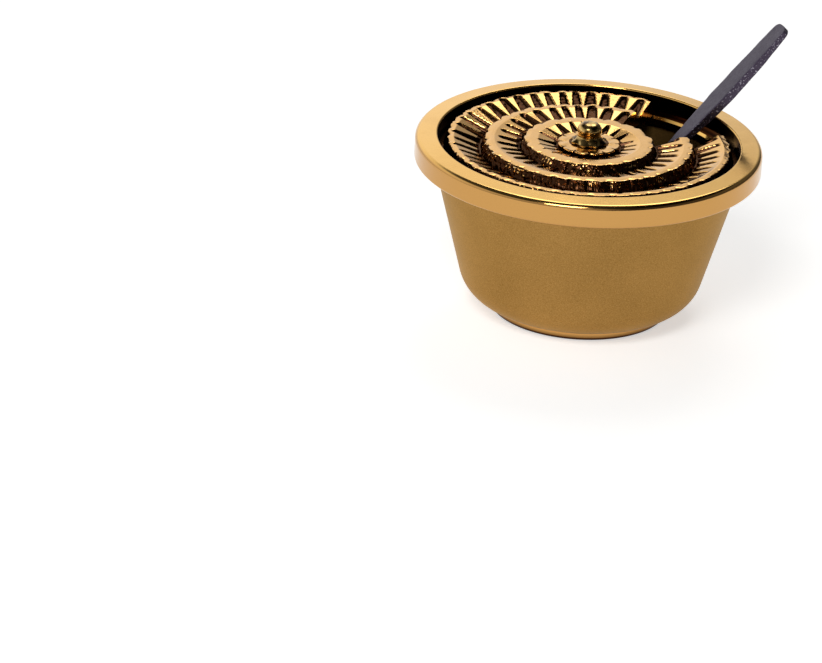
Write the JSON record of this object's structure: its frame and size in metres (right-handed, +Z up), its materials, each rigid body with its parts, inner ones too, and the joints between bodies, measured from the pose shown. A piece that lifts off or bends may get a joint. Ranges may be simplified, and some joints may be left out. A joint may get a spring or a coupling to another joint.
{
  "type": "incense boat",
  "caption": "Round lidded incense bowl with a polished collar and foot, a stepped fluted lid with one wedge opening, and a spoon that leans out of it.",
  "frame": {"origin": "middle of the foot's resting plane, on the bowl's axis", "axes": "+Z up along the bowl's axis; the lid's opening and the spoon are towards +X and +Y; the picture looks along +Y and down"},
  "size_m": [0.1087, 0.102, 0.0792],
  "materials": {
    "satin_gilt": "bead-blasted satin, lacquered",
    "polished_gilt": "polished, lacquered",
    "antiqued_brass": "cast, blackened in the recesses, polished on the crests",
    "bright_brass": "bright cast",
    "plain_brass": "as turned",
    "dark_steel": "dark, lightly hammered"
  },
  "bodies": {
    "boat": {"bowl_shell": "satin_gilt", "rim_collar": "polished_gilt", "foot_ring": "polished_gilt"},
    "lid": {"lid_plate": "antiqued_brass", "middle_tier": "antiqued_brass", "inner_tier": "antiqued_brass", "finial_boss": "antiqued_brass", "finial_knob": "bright_brass", "finial_stud": "plain_brass", "stud_washer": "plain_brass", "stud_nut": "plain_brass"},
    "spoon": {"spoon_handle": "dark_steel", "spoon_bowl": "dark_steel"}
  },
  "joints": [
    {"name": "lid_lift", "type": "slide", "parent": "boat", "child": "lid", "axis": [0, 0, 1], "range_m": [0, 0.08]},
    {"name": "spoon_draw", "type": "slide", "parent": "lid", "child": "spoon", "axis": [0.5704, 0.266, 0.7771], "range_m": [0, 0.08]}
  ]
}
